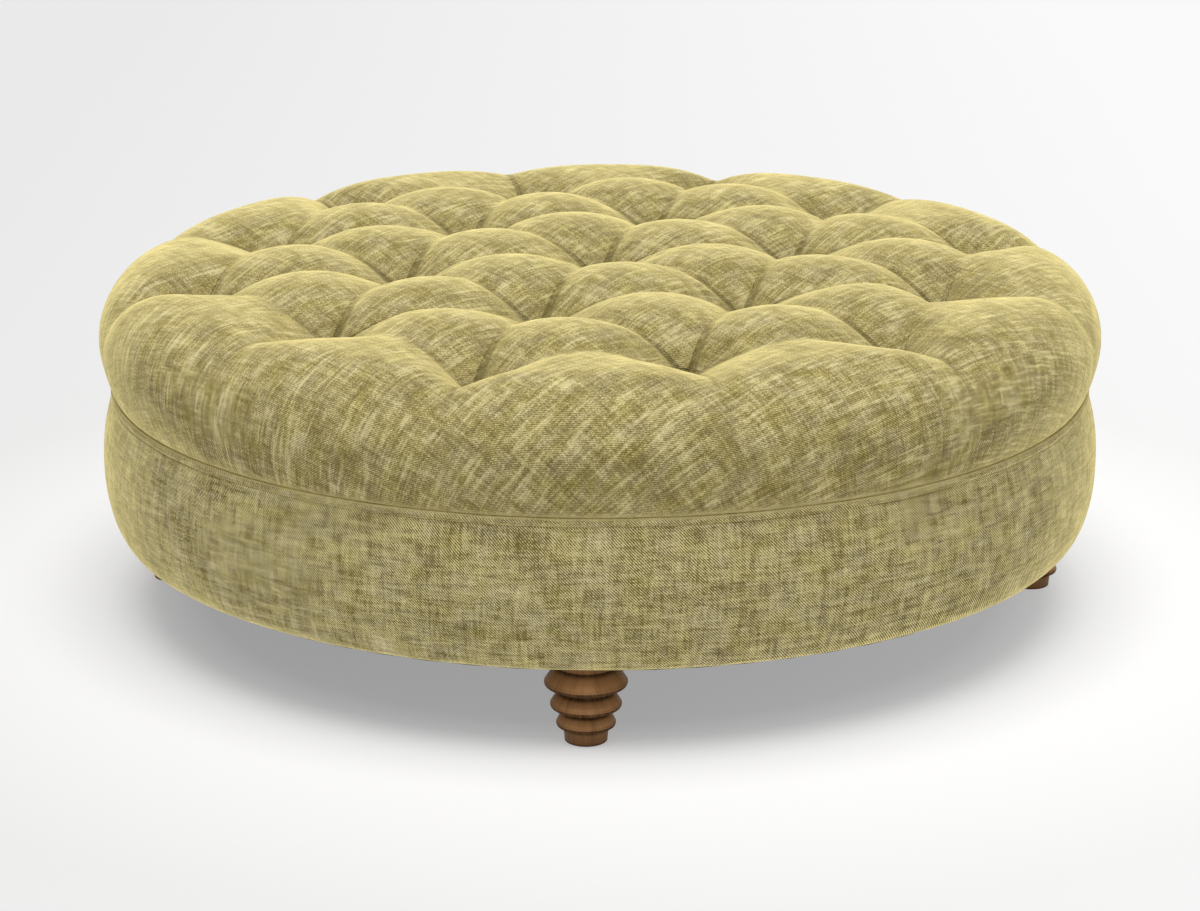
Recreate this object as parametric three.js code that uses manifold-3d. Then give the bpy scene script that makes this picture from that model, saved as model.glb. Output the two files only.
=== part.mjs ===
// A round tufted tuffet: a blind-tufted cushion over an upholstered band, piping
// between them, and four turned feet. Sizes are in millimetres, +Z is up, and the
// origin is on the floor under the middle. The rows of tufts run along X.

import * as THREE from 'three';
import { mergeVertices } from 'three/addons/utils/BufferGeometryUtils.js';
import Module from 'manifold-3d';

const wasm = await Module();
wasm.setup();

// Overall sizes
const overallRadius = 600;
const footHeight = 97;
const hoopHeight = 160;
const cushionHeight = 169;
const clearance = 0.3;

// Facets: columns round the body, and sides of the small round pieces
const stepsPerPitch = 4;
const tuftRings = 2;
const sectors = 6;
const columns = sectors * tuftRings * stepsPerPitch;
const edgeRings = 6;
const footSides = 16;
const boltSides = 8;
const tieSides = 6;

// Fabric and what is sewn from it
const coverThickness = 2;
const cordRadius = 5;
const cordInset = 16;
const tapeThickness = 1;
const coverTurn = 1.6;
const dustClothThickness = 0.7;

// Cushion: the outline through the crests of the puffs, and the tufts that draw it down
const crownDrop = 14;
const edgeRoundWidth = 90;
const edgeRoundHeight = 86;
const waistInset = 16;
const waistTuck = 40;
const tuftMargin = 120;
const tuftDepth = 52;
const creaseShare = 0.25;
const lobeShare = 0.36;
const creaseFade = 2.2;
const lobeFullness = 3;
const hemDepth = 16;

// Cushion filling
const foamHeight = 100;
const foamEdgeRound = 60;
const foamHoleRadius = 12;
const waddingHoleRadius = 8;
const waddingTrimShare = 0.1;

// Band round the drum
const bandWidestHeight = 86;
const bandCornerWidth = 28;
const bandTopInset = 12;
const bandTopRound = 7;
const bandLip = 1;
const turnUnder = 70;

// Timber and board
const bandDepth = 34;
const hoopThickness = 5.7;
const deckThickness = 18;
const baseThickness = 18;
const baseRimWidth = 236;
const deckHoleRadius = 5;
const railThickness = 20;
const railHeight = 50;
const studWidth = 45;
const studDepth = 22;
const blockWidth = 90;
const blockDepth = 62;
const blockHeight = 30;

// Tack strip
const stripThickness = 2;
const stripHeight = 12;

// Tuft ties
const twineRadius = 1.5;
const knotRadius = 4;
const knotHeight = 3;
const toggleRadius = 11;
const toggleHeight = 4;

// Feet and their fixings
const footInset = 70;
const footBaseRadius = 23.3;
const footBaseHeight = 15;
const footBaseFlare = 1.2;
const footPlateRadius = 33;
const footPlateHeight = 9;
const beadRimRadii = [32.5, 39, 45.5];
const beadRimHeights = [22, 43.7, 69];
const beadNeckRadii = [24, 28, 31];
const beadNeckHeights = [33.5, 56.5, 86];
const beadUnderWidth = 8;
const beadUnderHeight = 4.4;
const beadRimRound = 2;
const beadRimDepth = 3.6;
const boltRadius = 4;
const boltGrip = 38;
const boltProud = 4;
const nutBarrelRadius = 5.4;
const nutBarrelHeight = 9;
const nutFlangeRadius = 10;
const nutFlangeThickness = 1.5;
const glideRadius = 14;
const glideHeight = 4;
const glideProud = 1;

// Levels, from the floor up
const bandBottom = footHeight + clearance;
const baseBottom = bandBottom + coverThickness + clearance;
const baseTop = baseBottom + baseThickness;
const deckTop = baseBottom + hoopHeight;
const deckBottom = deckTop - deckThickness;
const railBottom = deckBottom - clearance - railHeight;
const bandTop = deckTop + bandLip;
const tapeBottom = bandTop + clearance;
const cordHeight = bandTop + clearance + cordRadius;
const hemBottom = deckTop - hemDepth;
const crestTop = deckTop + cushionHeight;
const edgeTop = crestTop - crownDrop;
const cushionWidestHeight = edgeTop - edgeRoundHeight;
const waistHeight = cordHeight + cordRadius + coverTurn;

// Radii and spacing, worked out from the widest radius
const tuftPitch = (overallRadius - tuftMargin) / tuftRings;
const footCircleRadius = overallRadius - footInset;
const hoopRadius = overallRadius - bandDepth;
const baseOpeningRadius = hoopRadius - baseRimWidth;
const deckRadius = hoopRadius - hoopThickness - clearance;
const hemInnerRadius = hoopRadius + clearance;
const hemOuterRadius = hemInnerRadius + coverThickness;
const stripInnerRadius = hemOuterRadius + clearance;
const stripOuterRadius = stripInnerRadius + stripThickness;
const waistRadius = overallRadius - waistInset;
const edgeRadius = overallRadius - edgeRoundWidth;
const cordCircleRadius = overallRadius - cordInset;

// Materials
function finish(color, roughness, metalness) {
  return new THREE.MeshStandardMaterial({ color, roughness, metalness });
}

const coverCloth = finish(0xa39a55, 0.9, 0);
const pipingCloth = finish(0xa8a05c, 0.9, 0);
const fibre = finish(0xe9e7e0, 1, 0);
const foam = finish(0xe6dcae, 1, 0);
const twine = finish(0xcdbf98, 0.9, 0);
const plywood = finish(0xc9a878, 0.8, 0);
const bentPly = finish(0xbd9c6f, 0.8, 0);
const hardwood = finish(0xb98d5a, 0.75, 0);
const turnedWood = finish(0x7d5537, 0.55, 0);
const zincSteel = finish(0xb4b6b8, 0.4, 1);
const nylon = finish(0x2f2b27, 0.6, 0);
const card = finish(0xb9a582, 0.9, 0);
const dustCloth = finish(0x2a2a2c, 1, 0);

// Model group and mesh helpers
const tuffet = new THREE.Group();

function addPiece(parent, name, geometry, material) {
  const mesh = new THREE.Mesh(geometry, material);
  mesh.name = name;
  parent.add(mesh);
  return mesh;
}

function turned(outline, sides) {
  const points = outline.map(([radius, height]) => new THREE.Vector2(radius, height));
  const geometry = new THREE.LatheGeometry(points, sides);
  geometry.rotateX(Math.PI / 2);
  return geometry;
}

function turnedRing(outline, sides) {
  return turned([...outline, outline[0]], sides);
}

function polygon(radius, sides, x = 0, y = 0) {
  const corners = [];
  for (let i = 0; i < sides; i += 1) {
    const angle = 2 * Math.PI * i / sides - Math.PI / 2;
    corners.push(new THREE.Vector2(x + radius * Math.cos(angle), y + radius * Math.sin(angle)));
  }
  return corners;
}

function slab(outline, holes, thickness) {
  const shape = new THREE.Shape(outline);
  shape.holes = holes.map((corners) => new THREE.Path(corners));
  return new THREE.ExtrudeGeometry(shape, { depth: thickness, bevelEnabled: false });
}

function rectangle(left, right, width) {
  const y = width / 2;
  return [
    new THREE.Vector2(left, -y),
    new THREE.Vector2(right, -y),
    new THREE.Vector2(right, y),
    new THREE.Vector2(left, y),
  ];
}

// How far out a straight piece of a width reaches inside the round hoop
function reachInHoop(width) {
  const flatRadius = deckRadius * Math.cos(Math.PI / columns);
  return Math.sqrt(flatRadius ** 2 - (width / 2) ** 2) - clearance;
}

// Boolean cuts
function toSolid(geometry) {
  const bare = geometry.clone();
  bare.deleteAttribute('normal');
  bare.deleteAttribute('uv');
  const merged = mergeVertices(bare);
  const corners = [];
  for (let i = 0; i < merged.index.count; i += 3) {
    const [a, b, c] = [0, 1, 2].map((j) => merged.index.getX(i + j));
    if (a !== b && b !== c && c !== a) corners.push(a, b, c);
  }
  return new wasm.Manifold(new wasm.Mesh({
    numProp: 3,
    vertProperties: new Float32Array(merged.attributes.position.array),
    triVerts: new Uint32Array(corners),
  }));
}

function toGeometry(solid) {
  const mesh = solid.getMesh();
  const geometry = new THREE.BufferGeometry();
  geometry.setAttribute('position', new THREE.BufferAttribute(mesh.vertProperties, 3));
  geometry.setIndex(new THREE.BufferAttribute(mesh.triVerts, 1));
  geometry.computeVertexNormals();
  return geometry;
}

function drill(geometry, places, radius, sides, bottom, top) {
  let solid = toSolid(geometry);
  for (const place of places) {
    const outline = [[0, bottom], [radius, bottom], [radius, top], [0, top]];
    const bit = turned(outline, sides);
    bit.translate(place.x, place.y, 0);
    solid = solid.subtract(toSolid(bit));
  }
  return toGeometry(solid);
}

// Crest line: the cushion's outline from the middle of the top, over the edge and
// down to the piping. Reach is the distance along it from the middle.
const crestLine = new THREE.CurvePath();
crestLine.add(new THREE.QuadraticBezierCurve(
  new THREE.Vector2(0, crestTop),
  new THREE.Vector2(edgeRadius / 2, crestTop),
  new THREE.Vector2(edgeRadius, edgeTop),
));
crestLine.add(new THREE.EllipseCurve(
  edgeRadius, cushionWidestHeight, edgeRoundWidth, edgeRoundHeight, Math.PI / 2, 0, true,
));
crestLine.add(new THREE.QuadraticBezierCurve(
  new THREE.Vector2(overallRadius, cushionWidestHeight),
  new THREE.Vector2(overallRadius, waistHeight + waistTuck),
  new THREE.Vector2(waistRadius, waistHeight),
));
const crestLength = crestLine.getLength();

// A point on the cushion: at a reach and an angle, sunk square to the crest line
function cushionPoint({ reach, angle, drop }, depth) {
  const at = Math.min(reach / crestLength, 1);
  const point = crestLine.getPoint(at);
  const along = crestLine.getTangent(at);
  const radius = point.x + along.y * (drop + depth);
  const height = point.y - along.x * (drop + depth);
  return new THREE.Vector3(radius * Math.cos(angle), radius * Math.sin(angle), height);
}

// Tufted sag between three tufts: deepest at a tuft, shallower along the crease from
// tuft to tuft, and nothing at the middle of the puff
function puffDrop(first, second) {
  const a = first - Math.floor(first);
  const b = second - Math.floor(second);
  const shares = a + b <= 1 ? [1 - a - b, a, b] : [a + b - 1, 1 - b, 1 - a];
  const spread = shares.reduce((sum, share) => sum + share * share, 0);
  return tuftDepth * (3 * spread - 1) / 2;
}

// One ring of places on the tuft lattice, counted from the middle
function latticeRing(ring) {
  if (ring === 0) return [{ reach: 0, angle: 0, drop: tuftDepth }];
  const places = [];
  for (let sector = 0; sector < sectors; sector += 1) {
    const turn = 2 * Math.PI / sectors;
    for (let step = 0; step < ring; step += 1) {
      const along = (ring - step + step * Math.cos(turn)) * tuftPitch / stepsPerPitch;
      const across = step * Math.sin(turn) * tuftPitch / stepsPerPitch;
      places.push({
        reach: Math.hypot(along, across),
        angle: sector * turn + Math.atan2(across, along),
        drop: puffDrop((ring - step) / stepsPerPitch, step / stepsPerPitch),
      });
    }
  }
  return places;
}

// One ring of places from the outer tufts over the edge to the waist: the creases run
// on from the tufts, narrow as they go and die out towards the piping
function edgeRing(ring) {
  const share = ring / edgeRings;
  const shallow = creaseShare * Math.max(0, 1 - share / lobeShare) ** 2;
  const crease = (1 - creaseShare) * (1 - share) ** creaseFade;
  return latticeRing(tuftRings * stepsPerPitch).map((start, column) => {
    const between = (column % stepsPerPitch) / stepsPerPitch;
    const rimAngle = 2 * Math.PI * column / columns;
    const nearCrease = Math.abs(2 * between - 1) ** (2 + lobeFullness * share);
    return {
      reach: start.reach + (crestLength - start.reach) * share,
      angle: start.angle + (rimAngle - start.angle) * share,
      drop: tuftDepth * (shallow + crease * nearCrease),
    };
  });
}

// All rings of the tufted surface, sunk by a depth, as points
function tuftedSurface(depth) {
  const rings = [];
  for (let ring = 0; ring <= tuftRings * stepsPerPitch; ring += 1) rings.push(latticeRing(ring));
  for (let ring = 1; ring <= edgeRings; ring += 1) rings.push(edgeRing(ring));
  return rings.map((places) => places.map((place) => cushionPoint(place, depth)));
}

function roundRing(radius, height) {
  const points = [];
  for (let column = 0; column < columns; column += 1) {
    const angle = 2 * Math.PI * column / columns;
    points.push(new THREE.Vector3(radius * Math.cos(angle), radius * Math.sin(angle), height));
  }
  return points;
}

// Triangles between rings that widen from a pole. A ring has as many points as the
// one before it, or one more in each sector.
function stripCorners(rings, first) {
  const corners = [];
  let start = first;
  for (let i = 0; i + 1 < rings.length; i += 1) {
    const here = rings[i].length;
    const next = rings[i + 1].length;
    const from = (j) => start + (j % here);
    const to = (j) => start + here + (j % next);
    const steps = here === next ? here : here / sectors;
    if (here === next) {
      for (let j = 0; j < steps; j += 1) {
        corners.push(from(j), to(j), to(j + 1), from(j), to(j + 1), from(j + 1));
      }
    } else if (here === 1) {
      for (let j = 0; j < next; j += 1) corners.push(from(0), to(j), to(j + 1));
    } else {
      for (let sector = 0; sector < sectors; sector += 1) {
        const inner = sector * steps;
        const outer = sector * (steps + 1);
        for (let j = 0; j <= steps; j += 1) {
          corners.push(from(inner + j), to(outer + j), to(outer + j + 1));
        }
        for (let j = 0; j < steps; j += 1) {
          corners.push(from(inner + j), to(outer + j + 1), from(inner + j + 1));
        }
      }
    }
    start += here;
  }
  return corners;
}

// Closed shell: an outer and an inner run of rings, each from its pole to the lip
function shell(outside, inside) {
  const outer = stripCorners(outside, 0);
  const count = outside.flat().length;
  const inner = stripCorners(inside, count).reverse();
  const total = count + inside.flat().length;
  const lip = [];
  for (let j = 0; j < columns; j += 1) {
    const next = (j + 1) % columns;
    const [a, b] = [count - columns + j, count - columns + next];
    const [c, d] = [total - columns + j, total - columns + next];
    lip.push(a, c, d, a, d, b);
  }
  const geometry = new THREE.BufferGeometry();
  geometry.setFromPoints([...outside.flat(), ...inside.flat()]);
  geometry.setIndex([...outer, ...lip, ...inner]);
  geometry.computeVertexNormals();
  return geometry;
}

// Tufts: the lowest points of the cover's inner side, one above each tie
function tuftPlaces() {
  const places = [];
  for (let ring = 0; ring <= tuftRings; ring += 1) {
    const around = latticeRing(ring * stepsPerPitch);
    around.forEach((place, index) => {
      if (index % stepsPerPitch === 0) places.push(cushionPoint(place, coverThickness));
    });
  }
  return places;
}

const tufts = tuftPlaces();

// Tufted cover: the puffed skin, turned in over the piping and down to a flat hem
function topCover() {
  const outside = tuftedSurface(0);
  const inside = tuftedSurface(coverThickness);
  const hemTop = tapeBottom + tapeThickness + clearance;
  outside.push(roundRing(hemOuterRadius, hemTop), roundRing(hemOuterRadius, hemBottom));
  inside.push(
    roundRing(hemInnerRadius, hemTop + coverThickness), roundRing(hemInnerRadius, hemBottom),
  );
  return shell(outside, inside);
}

// Foam block: its side and rounded edge from the deck up, grown by a gap
function foamOutline(gap) {
  const edgeSteps = 3;
  const bend = deckRadius - foamEdgeRound;
  const level = deckTop + foamHeight - crownDrop - foamEdgeRound;
  const outline = [];
  for (let i = 0; i <= edgeSteps; i += 1) {
    const angle = Math.PI / 2 * i / edgeSteps;
    outline.push([
      bend + (foamEdgeRound + gap) * Math.cos(angle),
      level + (foamEdgeRound + gap) * Math.sin(angle),
    ]);
  }
  const midwayShare = 0.5;
  const midwayDrop = crownDrop * midwayShare ** 2;
  outline.push([bend * midwayShare, deckTop + foamHeight + gap - midwayDrop]);
  outline.push([0, deckTop + foamHeight + gap]);
  return outline;
}

function topFoam() {
  const bottom = deckTop + clearance;
  const block = turned([[0, bottom], [deckRadius, bottom], ...foamOutline(0)], columns);
  return drill(block, tufts, foamHoleRadius, tieSides, deckBottom, crestTop);
}

// Wadding: fills the space between the foam and the tufted cover
function topWadding() {
  const outside = tuftedSurface(coverThickness + clearance);
  outside.at(-1).forEach((point, i) => point.lerp(outside.at(-2)[i], waddingTrimShare));
  const lowest = outside.at(-1)[0].z;
  const inside = foamOutline(clearance).reverse().map(([radius, height]) => (
    radius > 0 ? roundRing(radius, height) : [new THREE.Vector3(0, 0, height)]
  ));
  inside.push(roundRing(deckRadius + clearance, lowest));
  const filling = shell(outside, inside);
  return drill(filling, tufts, waddingHoleRadius, tieSides, deckTop, crestTop);
}

// Tuft tie: knot under the cover, twine through filling and deck, toggle under the deck
function tuftTie(tuft) {
  const top = tuft.z - clearance;
  const toggleTop = deckBottom - clearance;
  const geometry = turned([
    [0, toggleTop - toggleHeight],
    [toggleRadius, toggleTop - toggleHeight],
    [toggleRadius, toggleTop],
    [twineRadius, toggleTop],
    [twineRadius, top - knotHeight],
    [knotRadius, top - knotHeight],
    [knotRadius, top],
    [0, top],
  ], tieSides);
  geometry.translate(tuft.x, tuft.y, 0);
  return geometry;
}

// Outline moved square to itself, to the left of its direction
function offsetOutline(outline, distance) {
  return outline.map(([x, y], i) => {
    const before = outline[Math.max(i - 1, 0)];
    const after = outline[Math.min(i + 1, outline.length - 1)];
    const legs = [[before, [x, y]], [[x, y], after]]
      .map(([start, end]) => new THREE.Vector2(end[0] - start[0], end[1] - start[1]))
      .filter((leg) => leg.length() > 0)
      .map((leg) => leg.normalize());
    const along = legs.reduce((sum, leg) => sum.add(leg), new THREE.Vector2()).normalize();
    const stretch = distance / along.dot(legs[0]);
    return [x - along.y * stretch, y + along.x * stretch];
  });
}

// Outer outline of the band cover, from under the base up to the piping
function bandOutline() {
  const steps = 2;
  const cornerRadius = overallRadius - bandCornerWidth;
  const widest = bandBottom + bandWidestHeight;
  const topRadius = overallRadius - bandTopInset;
  const path = new THREE.Path();
  path.moveTo(hoopRadius - turnUnder, bandBottom);
  path.lineTo(cornerRadius, bandBottom);
  path.absellipse(cornerRadius, widest, bandCornerWidth, bandWidestHeight, -Math.PI / 2, 0, false);
  path.quadraticCurveTo(
    overallRadius, (widest + bandTop) / 2, topRadius, bandTop - bandTopRound,
  );
  path.quadraticCurveTo(topRadius, bandTop, topRadius - bandTopRound, bandTop);
  path.lineTo(hemOuterRadius + clearance, bandTop);
  return path.getPoints(steps).map((point) => [point.x, point.y]);
}

function bandCover(footPlaces) {
  const outside = bandOutline();
  const inside = offsetOutline(outside, coverThickness).reverse();
  const skin = turnedRing([...outside, ...inside], columns);
  const holeRadius = boltRadius + clearance;
  return drill(skin, footPlaces, holeRadius, boltSides, footHeight, baseBottom);
}

// Band padding: fills the space from the hoop to the band cover, with a step cut for
// the cushion's hem and the tack strip
function bandPadding() {
  const stepRadius = stripOuterRadius + clearance;
  const stepHeight = hemBottom - clearance;
  const outside = offsetOutline(bandOutline(), coverThickness + clearance)
    .filter(([radius]) => radius > stepRadius);
  return turnedRing([
    [hoopRadius + clearance, outside[0][1]],
    ...outside,
    [stepRadius, outside.at(-1)[1]],
    [stepRadius, stepHeight],
    [hoopRadius + clearance, stepHeight],
  ], columns);
}

function tackStrip() {
  const top = bandTop - coverThickness - clearance;
  return turnedRing([
    [stripInnerRadius, top - stripHeight],
    [stripOuterRadius, top - stripHeight],
    [stripOuterRadius, top],
    [stripInnerRadius, top],
  ], columns);
}

// Piping: a round cord in its fold of cloth, with a flat tape running in to the hem
function welt() {
  const cordSteps = 7;
  const tapeTop = tapeBottom + tapeThickness;
  const tapeInner = hemOuterRadius + clearance;
  const leave = Math.acos((cordHeight - tapeTop) / cordRadius);
  const outline = [[tapeInner, tapeTop], [tapeInner, tapeBottom]];
  for (let i = 0; i < cordSteps; i += 1) {
    const turn = (2 * Math.PI - leave) * i / (cordSteps - 1) - Math.PI / 2;
    outline.push([
      cordCircleRadius + cordRadius * Math.cos(turn),
      cordHeight + cordRadius * Math.sin(turn),
    ]);
  }
  return turnedRing(outline, columns);
}

// Frame: hoop, deck, rails, studs, base board
function bandHoop() {
  return turnedRing([
    [hoopRadius - hoopThickness, baseBottom],
    [hoopRadius, baseBottom],
    [hoopRadius, deckTop],
    [hoopRadius - hoopThickness, deckTop],
  ], columns);
}

function topDeck() {
  const holes = tufts.map(({ x, y }) => polygon(deckHoleRadius, tieSides, x, y));
  return slab(polygon(deckRadius, columns), holes, deckThickness);
}

function baseBoard(footPlaces) {
  const holeRadius = nutBarrelRadius + clearance;
  const holes = footPlaces.map(({ x, y }) => polygon(holeRadius, boltSides, x, y));
  const opening = polygon(baseOpeningRadius, columns);
  return slab(polygon(deckRadius, columns), [opening, ...holes], baseThickness);
}

function addFrame(footPlaces) {
  addPiece(tuffet, 'band_hoop', bandHoop(), bentPly);
  addPiece(tuffet, 'top_deck', topDeck(), plywood).position.z = deckBottom;
  addPiece(tuffet, 'base_board', baseBoard(footPlaces), plywood).position.z = baseBottom;

  const railPlace = tuftPitch * Math.sin(2 * Math.PI / sectors) / 2;
  const railReach = reachInHoop(2 * railPlace + railThickness);
  const studHeight = railBottom - clearance - baseTop - clearance;
  const studPlace = railReach - studWidth / 2;
  let number = 0;
  for (const [side, name] of [[1, 'deck_rail_left'], [-1, 'deck_rail_right']]) {
    const rail = new THREE.BoxGeometry(2 * railReach, railThickness, railHeight);
    const mesh = addPiece(tuffet, name, rail, hardwood);
    mesh.position.set(0, side * railPlace, railBottom + railHeight / 2);
    for (const end of [1, -1]) {
      number += 1;
      const stud = new THREE.BoxGeometry(studWidth, studDepth, studHeight);
      const post = addPiece(tuffet, `stud_${number}`, stud, hardwood);
      post.position.set(end * studPlace, side * railPlace, baseTop + clearance + studHeight / 2);
    }
  }
  const tallHeight = deckBottom - clearance - baseTop - clearance;
  const tallReach = reachInHoop(studWidth);
  for (const side of [1, -1]) {
    number += 1;
    const stud = new THREE.BoxGeometry(studWidth, studDepth, tallHeight);
    const post = addPiece(tuffet, `stud_${number}`, stud, hardwood);
    const place = side * (tallReach - studDepth / 2);
    post.position.set(0, place, baseTop + clearance + tallHeight / 2);
  }
}

// Feet: each is turned from one length of wood, three thin beads over a plain base
function footOutline() {
  const recess = glideHeight + clearance;
  const socketRadius = boltRadius + clearance;
  const outline = [
    [0, recess],
    [glideRadius + clearance, recess],
    [glideRadius + clearance, glideProud],
    [footBaseRadius, glideProud],
    [footBaseRadius + footBaseFlare, footBaseHeight],
  ];
  beadRimRadii.forEach((rim, bead) => {
    const level = beadRimHeights[bead];
    outline.push([rim - beadUnderWidth, level - beadUnderHeight]);
    outline.push([rim - beadRimRound, level - beadRimDepth]);
    outline.push([rim, level]);
    outline.push([rim - beadRimRound, level + beadRimRound]);
    outline.push([beadNeckRadii[bead], beadNeckHeights[bead]]);
  });
  outline.push([footPlateRadius, footHeight - footPlateHeight]);
  outline.push([footPlateRadius, footHeight]);
  outline.push([socketRadius, footHeight]);
  outline.push([socketRadius, footHeight - boltGrip - clearance]);
  outline.push([0, footHeight - boltGrip - clearance]);
  return outline;
}

function addFoot(number, place) {
  const corner = new THREE.Group();
  corner.position.set(place.x, place.y, 0);
  corner.rotation.z = place.angle;
  tuffet.add(corner);

  addPiece(corner, `foot_${number}`, turned(footOutline(), footSides), turnedWood);

  const glide = [[0, 0], [glideRadius, 0], [glideRadius, glideHeight], [0, glideHeight]];
  addPiece(corner, `glide_${number}`, turned(glide, footSides), nylon);

  const blockBottom = baseTop + clearance;
  const blockTop = blockBottom + blockHeight;
  const hole = polygon(nutBarrelRadius + clearance, boltSides);
  const blockEnd = reachInHoop(blockWidth) - footCircleRadius;
  const blockOutline = rectangle(blockEnd - blockDepth, blockEnd, blockWidth);
  const block = slab(blockOutline, [hole], blockHeight);
  addPiece(corner, `foot_block_${number}`, block, hardwood).position.z = blockBottom;

  const flangeBottom = blockTop + clearance;
  const nutTop = flangeBottom + nutFlangeThickness;
  const bore = boltRadius + clearance;
  const nut = turnedRing([
    [bore, flangeBottom - nutBarrelHeight],
    [nutBarrelRadius, flangeBottom - nutBarrelHeight],
    [nutBarrelRadius, flangeBottom],
    [nutFlangeRadius, flangeBottom],
    [nutFlangeRadius, nutTop],
    [bore, nutTop],
  ], boltSides);
  addPiece(corner, `tee_nut_${number}`, nut, zincSteel);

  const boltBottom = footHeight - boltGrip;
  const boltTop = nutTop + boltProud;
  const rod = [[0, boltBottom], [boltRadius, boltBottom], [boltRadius, boltTop], [0, boltTop]];
  addPiece(corner, `hanger_bolt_${number}`, turned(rod, boltSides), zincSteel);
}

// Dust cover: thin cloth over the underside, cut round the feet
function dustCover(footPlaces) {
  const radius = overallRadius - bandCornerWidth - clearance;
  const holeRadius = footPlateRadius + clearance;
  const holes = footPlaces.map(({ x, y }) => polygon(holeRadius, footSides, x, y));
  return slab(polygon(radius, columns), holes, dustClothThickness);
}

// Assembly
const footCount = 4;
const feet = [];
for (let i = 0; i < footCount; i += 1) {
  const angle = Math.PI / footCount + 2 * Math.PI * i / footCount;
  const x = footCircleRadius * Math.cos(angle);
  const y = footCircleRadius * Math.sin(angle);
  feet.push({ x, y, angle });
}

addPiece(tuffet, 'top_cover', topCover(), coverCloth);
addPiece(tuffet, 'top_wadding', topWadding(), fibre);
addPiece(tuffet, 'top_foam', topFoam(), foam);
tufts.forEach((tuft, index) => {
  const number = String(index + 1).padStart(2, '0');
  addPiece(tuffet, `tuft_tie_${number}`, tuftTie(tuft), twine);
});
addPiece(tuffet, 'welt', welt(), pipingCloth);
addPiece(tuffet, 'band_cover', bandCover(feet), coverCloth);
addPiece(tuffet, 'band_padding', bandPadding(), foam);
addPiece(tuffet, 'tack_strip', tackStrip(), card);
addFrame(feet);
feet.forEach((place, index) => addFoot(index + 1, place));
const dustBottom = bandBottom - clearance - dustClothThickness;
addPiece(tuffet, 'dust_cover', dustCover(feet), dustCloth).position.z = dustBottom;

export default tuffet;
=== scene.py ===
"""A round tufted footstool: velvet cushion and band, piping, turned feet and underside."""

import bisect
import math

import bmesh
import bpy
from bpy.props import FloatProperty, FloatVectorProperty, IntProperty, PointerProperty
from mathutils import Matrix, Vector, noise


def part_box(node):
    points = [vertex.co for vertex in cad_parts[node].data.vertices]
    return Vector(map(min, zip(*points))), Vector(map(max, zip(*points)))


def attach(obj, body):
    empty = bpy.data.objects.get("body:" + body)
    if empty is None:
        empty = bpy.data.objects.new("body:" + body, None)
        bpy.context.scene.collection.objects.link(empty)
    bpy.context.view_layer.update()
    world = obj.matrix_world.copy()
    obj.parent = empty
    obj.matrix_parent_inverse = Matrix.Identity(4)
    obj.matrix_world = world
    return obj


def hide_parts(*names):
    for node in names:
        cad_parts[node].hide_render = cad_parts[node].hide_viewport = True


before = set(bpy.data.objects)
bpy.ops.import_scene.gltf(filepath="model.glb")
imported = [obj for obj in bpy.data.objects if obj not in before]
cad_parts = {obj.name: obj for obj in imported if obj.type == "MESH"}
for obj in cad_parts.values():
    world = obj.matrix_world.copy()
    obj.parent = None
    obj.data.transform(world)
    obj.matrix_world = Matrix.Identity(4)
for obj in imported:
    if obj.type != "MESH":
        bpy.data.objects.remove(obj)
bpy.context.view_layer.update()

bl_info = {
    "name": "Tufted Footstool",
    "version": (1, 0, 0),
    "blender": (4, 5, 0),
    "location": "View3D > Sidebar > Footstool",
    "description": "Dresses a round tufted footstool in velvet, piping and turned wood",
    "category": "Object",
}

BAND_LOW, BAND_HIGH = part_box("band_cover")
WELT_LOW, WELT_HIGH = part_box("welt")
FOOT_LOW, FOOT_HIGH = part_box("foot_1")

FEET = [f"foot_{number}" for number in range(1, 5)]
TURN = 2 * math.pi
SIX = 6
# Distance between two rows of tufts, as a share of the tuft spacing
ROW_SHARE = math.sin(TURN / SIX)
# Two places nearer than this are one
NEAR = 1e-4
# Radians a metre of a band texture at scale 1, along one axis
WAVE_RATE = 20
TWILL_WAVE = TURN / (WAVE_RATE / 2 * math.sqrt(2))
# Sockets of a Mix node that blends colours
MIX_SHARE, MIX_FIRST, MIX_SECOND, MIX_RESULT = 0, 6, 7, 2


def size_property(name, description, default):
    """A length in metres that the panel shows."""
    return FloatProperty(
        name=name, description=description, default=default, min=0, unit="LENGTH", precision=4
    )


def share_property(name, description, default):
    """A share between nothing and all."""
    return FloatProperty(
        name=name, description=description, default=default, min=0, max=1, subtype="FACTOR"
    )


def angle_property(name, description, degrees):
    """An angle, given in degrees."""
    return FloatProperty(
        name=name, description=description, default=math.radians(degrees), subtype="ANGLE",
        unit="ROTATION",
    )


def colour_property(name, description, default):
    """A colour of a finish, as linear red, green and blue."""
    return FloatVectorProperty(
        name=name, description=description, default=default, size=3, min=0, max=1, subtype="COLOR"
    )


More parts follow.
